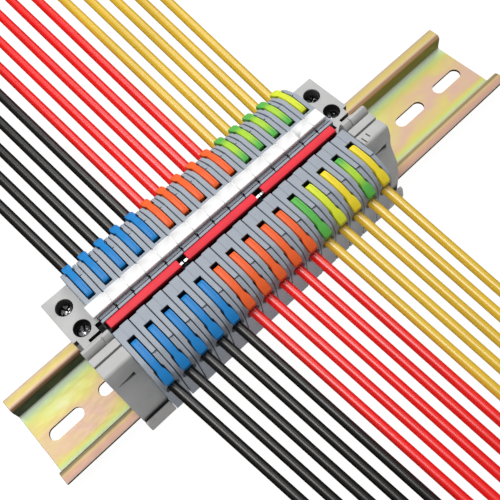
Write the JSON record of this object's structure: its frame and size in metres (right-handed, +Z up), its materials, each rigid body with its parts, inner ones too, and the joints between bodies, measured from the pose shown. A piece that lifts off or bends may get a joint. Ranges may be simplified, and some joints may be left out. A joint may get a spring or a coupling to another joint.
{
  "type": "din rail terminal block",
  "caption": "Row of slim feed-through lever terminals on a top-hat rail between end clamps, with bridging bars, a marker strip and wires on both sides.",
  "frame": {"origin": "bottom centre of the mounting rail, on the surface that it is screwed to", "axes": "+X along the rail, -Y towards the front levers, +Z up from the mounting surface"},
  "size_m": [0.2, 0.268, 0.0383],
  "materials": {
    "plated_steel": "yellow passivated zinc, iridescent",
    "terminal_grey": "moulded polyamide, satin",
    "clamp_grey": "moulded polyamide, satin",
    "lever_blue": "moulded, semi-gloss",
    "lever_orange": "moulded, semi-gloss",
    "lever_green": "moulded, semi-gloss",
    "lever_yellow": "moulded, semi-gloss",
    "lever_lime": "moulded, semi-gloss",
    "bridge_red": "moulded, semi-gloss",
    "marker_white": "moulded, satin",
    "jaw_steel": "zinc plated",
    "screw_steel": "blackened",
    "tinned_copper": "tin plated copper",
    "bare_copper": "bare copper",
    "wire_black": "insulation, semi-gloss",
    "wire_red": "insulation, semi-gloss",
    "wire_gold": "insulation, semi-gloss"
  },
  "bodies": {
    "root": {"din_rail": "plated_steel", "end_clamp_left": "clamp_grey", "end_clamp_right": "clamp_grey", "clamp_jaw_left": "jaw_steel", "clamp_jaw_right": "jaw_steel", "clamp_screw_left_1": "screw_steel", "clamp_screw_left_2": "screw_steel", "clamp_screw_right_1": "screw_steel", "clamp_screw_right_2": "screw_steel", "terminal_housing_01": "terminal_grey", "terminal_housing_02": "terminal_grey", "terminal_housing_03": "terminal_grey", "terminal_housing_04": "terminal_grey", "terminal_housing_05": "terminal_grey", "terminal_housing_06": "terminal_grey", "terminal_housing_07": "terminal_grey", "terminal_housing_08": "terminal_grey", "terminal_housing_09": "terminal_grey", "terminal_housing_10": "terminal_grey", "terminal_housing_11": "terminal_grey", "terminal_housing_12": "terminal_grey", "terminal_housing_13": "terminal_grey", "terminal_housing_14": "terminal_grey", "terminal_housing_15": "terminal_grey", "bridge_1": "bridge_red", "bridge_2": "bridge_red", "bridge_3": "bridge_red", "marker_strip": "marker_white", "wires_front": "wire_black", "wires_back": "wire_black"},
    "lever_front_01": {"lever_front_01": "lever_blue"},
    "lever_front_02": {"lever_front_02": "lever_blue"},
    "lever_front_03": {"lever_front_03": "lever_blue"},
    "lever_front_04": {"lever_front_04": "lever_blue"},
    "lever_front_05": {"lever_front_05": "lever_blue"},
    "lever_front_06": {"lever_front_06": "lever_orange"},
    "lever_front_07": {"lever_front_07": "lever_orange"},
    "lever_front_08": {"lever_front_08": "lever_orange"},
    "lever_front_09": {"lever_front_09": "lever_orange"},
    "lever_front_10": {"lever_front_10": "lever_orange"},
    "lever_front_11": {"lever_front_11": "lever_green"},
    "lever_front_12": {"lever_front_12": "lever_lime"},
    "lever_front_13": {"lever_front_13": "lever_yellow"},
    "lever_front_14": {"lever_front_14": "lever_green"},
    "lever_front_15": {"lever_front_15": "lever_yellow"},
    "lever_back_01": {"lever_back_01": "lever_blue"},
    "lever_back_02": {"lever_back_02": "lever_blue"},
    "lever_back_03": {"lever_back_03": "lever_blue"},
    "lever_back_04": {"lever_back_04": "lever_blue"},
    "lever_back_05": {"lever_back_05": "lever_blue"},
    "lever_back_06": {"lever_back_06": "lever_orange"},
    "lever_back_07": {"lever_back_07": "lever_orange"},
    "lever_back_08": {"lever_back_08": "lever_orange"},
    "lever_back_09": {"lever_back_09": "lever_orange"},
    "lever_back_10": {"lever_back_10": "lever_orange"},
    "lever_back_11": {"lever_back_11": "lever_green"},
    "lever_back_12": {"lever_back_12": "lever_green"},
    "lever_back_13": {"lever_back_13": "lever_green"},
    "lever_back_14": {"lever_back_14": "lever_green"},
    "lever_back_15": {"lever_back_15": "lever_lime"}
  },
  "joints": [
    {"name": "lever_front_01_hinge", "type": "hinge", "parent": "root", "child": "lever_front_01", "pos_m": [-0.0588, -0.0129, 0.0335], "axis": [-1, 0, 0], "range_deg": [0, 90]},
    {"name": "lever_front_02_hinge", "type": "hinge", "parent": "root", "child": "lever_front_02", "pos_m": [-0.0526, -0.0129, 0.0335], "axis": [-1, 0, 0], "range_deg": [0, 90]},
    {"name": "lever_front_03_hinge", "type": "hinge", "parent": "root", "child": "lever_front_03", "pos_m": [-0.0464, -0.0129, 0.0335], "axis": [-1, 0, 0], "range_deg": [0, 90]},
    {"name": "lever_front_04_hinge", "type": "hinge", "parent": "root", "child": "lever_front_04", "pos_m": [-0.0402, -0.0129, 0.0335], "axis": [-1, 0, 0], "range_deg": [0, 90]},
    {"name": "lever_front_05_hinge", "type": "hinge", "parent": "root", "child": "lever_front_05", "pos_m": [-0.034, -0.0129, 0.0335], "axis": [-1, 0, 0], "range_deg": [0, 90]},
    {"name": "lever_front_06_hinge", "type": "hinge", "parent": "root", "child": "lever_front_06", "pos_m": [-0.0278, -0.0129, 0.0335], "axis": [-1, 0, 0], "range_deg": [0, 90]},
    {"name": "lever_front_07_hinge", "type": "hinge", "parent": "root", "child": "lever_front_07", "pos_m": [-0.0216, -0.0129, 0.0335], "axis": [-1, 0, 0], "range_deg": [0, 90]},
    {"name": "lever_front_08_hinge", "type": "hinge", "parent": "root", "child": "lever_front_08", "pos_m": [-0.0154, -0.0129, 0.0335], "axis": [-1, 0, 0], "range_deg": [0, 90]},
    {"name": "lever_front_09_hinge", "type": "hinge", "parent": "root", "child": "lever_front_09", "pos_m": [-0.0092, -0.0129, 0.0335], "axis": [-1, 0, 0], "range_deg": [0, 90]},
    {"name": "lever_front_10_hinge", "type": "hinge", "parent": "root", "child": "lever_front_10", "pos_m": [-0.003, -0.0129, 0.0335], "axis": [-1, 0, 0], "range_deg": [0, 90]},
    {"name": "lever_front_11_hinge", "type": "hinge", "parent": "root", "child": "lever_front_11", "pos_m": [0.0032, -0.0129, 0.0335], "axis": [-1, 0, 0], "range_deg": [0, 90]},
    {"name": "lever_front_12_hinge", "type": "hinge", "parent": "root", "child": "lever_front_12", "pos_m": [0.0094, -0.0129, 0.0335], "axis": [-1, 0, 0], "range_deg": [0, 90]},
    {"name": "lever_front_13_hinge", "type": "hinge", "parent": "root", "child": "lever_front_13", "pos_m": [0.0156, -0.0129, 0.0335], "axis": [-1, 0, 0], "range_deg": [0, 90]},
    {"name": "lever_front_14_hinge", "type": "hinge", "parent": "root", "child": "lever_front_14", "pos_m": [0.0218, -0.0129, 0.0335], "axis": [-1, 0, 0], "range_deg": [0, 90]},
    {"name": "lever_front_15_hinge", "type": "hinge", "parent": "root", "child": "lever_front_15", "pos_m": [0.028, -0.0129, 0.0335], "axis": [-1, 0, 0], "range_deg": [0, 90]},
    {"name": "lever_back_01_hinge", "type": "hinge", "parent": "root", "child": "lever_back_01", "pos_m": [-0.0588, 0.0129, 0.0335], "axis": [1, 0, 0], "range_deg": [0, 90]},
    {"name": "lever_back_02_hinge", "type": "hinge", "parent": "root", "child": "lever_back_02", "pos_m": [-0.0526, 0.0129, 0.0335], "axis": [1, 0, 0], "range_deg": [0, 90]},
    {"name": "lever_back_03_hinge", "type": "hinge", "parent": "root", "child": "lever_back_03", "pos_m": [-0.0464, 0.0129, 0.0335], "axis": [1, 0, 0], "range_deg": [0, 90]},
    {"name": "lever_back_04_hinge", "type": "hinge", "parent": "root", "child": "lever_back_04", "pos_m": [-0.0402, 0.0129, 0.0335], "axis": [1, 0, 0], "range_deg": [0, 90]},
    {"name": "lever_back_05_hinge", "type": "hinge", "parent": "root", "child": "lever_back_05", "pos_m": [-0.034, 0.0129, 0.0335], "axis": [1, 0, 0], "range_deg": [0, 90]},
    {"name": "lever_back_06_hinge", "type": "hinge", "parent": "root", "child": "lever_back_06", "pos_m": [-0.0278, 0.0129, 0.0335], "axis": [1, 0, 0], "range_deg": [0, 90]},
    {"name": "lever_back_07_hinge", "type": "hinge", "parent": "root", "child": "lever_back_07", "pos_m": [-0.0216, 0.0129, 0.0335], "axis": [1, 0, 0], "range_deg": [0, 90]},
    {"name": "lever_back_08_hinge", "type": "hinge", "parent": "root", "child": "lever_back_08", "pos_m": [-0.0154, 0.0129, 0.0335], "axis": [1, 0, 0], "range_deg": [0, 90]},
    {"name": "lever_back_09_hinge", "type": "hinge", "parent": "root", "child": "lever_back_09", "pos_m": [-0.0092, 0.0129, 0.0335], "axis": [1, 0, 0], "range_deg": [0, 90]},
    {"name": "lever_back_10_hinge", "type": "hinge", "parent": "root", "child": "lever_back_10", "pos_m": [-0.003, 0.0129, 0.0335], "axis": [1, 0, 0], "range_deg": [0, 90]},
    {"name": "lever_back_11_hinge", "type": "hinge", "parent": "root", "child": "lever_back_11", "pos_m": [0.0032, 0.0129, 0.0335], "axis": [1, 0, 0], "range_deg": [0, 90]},
    {"name": "lever_back_12_hinge", "type": "hinge", "parent": "root", "child": "lever_back_12", "pos_m": [0.0094, 0.0129, 0.0335], "axis": [1, 0, 0], "range_deg": [0, 90]},
    {"name": "lever_back_13_hinge", "type": "hinge", "parent": "root", "child": "lever_back_13", "pos_m": [0.0156, 0.0129, 0.0335], "axis": [1, 0, 0], "range_deg": [0, 90]},
    {"name": "lever_back_14_hinge", "type": "hinge", "parent": "root", "child": "lever_back_14", "pos_m": [0.0218, 0.0129, 0.0335], "axis": [1, 0, 0], "range_deg": [0, 90]},
    {"name": "lever_back_15_hinge", "type": "hinge", "parent": "root", "child": "lever_back_15", "pos_m": [0.028, 0.0129, 0.0335], "axis": [1, 0, 0], "range_deg": [0, 90]}
  ]
}
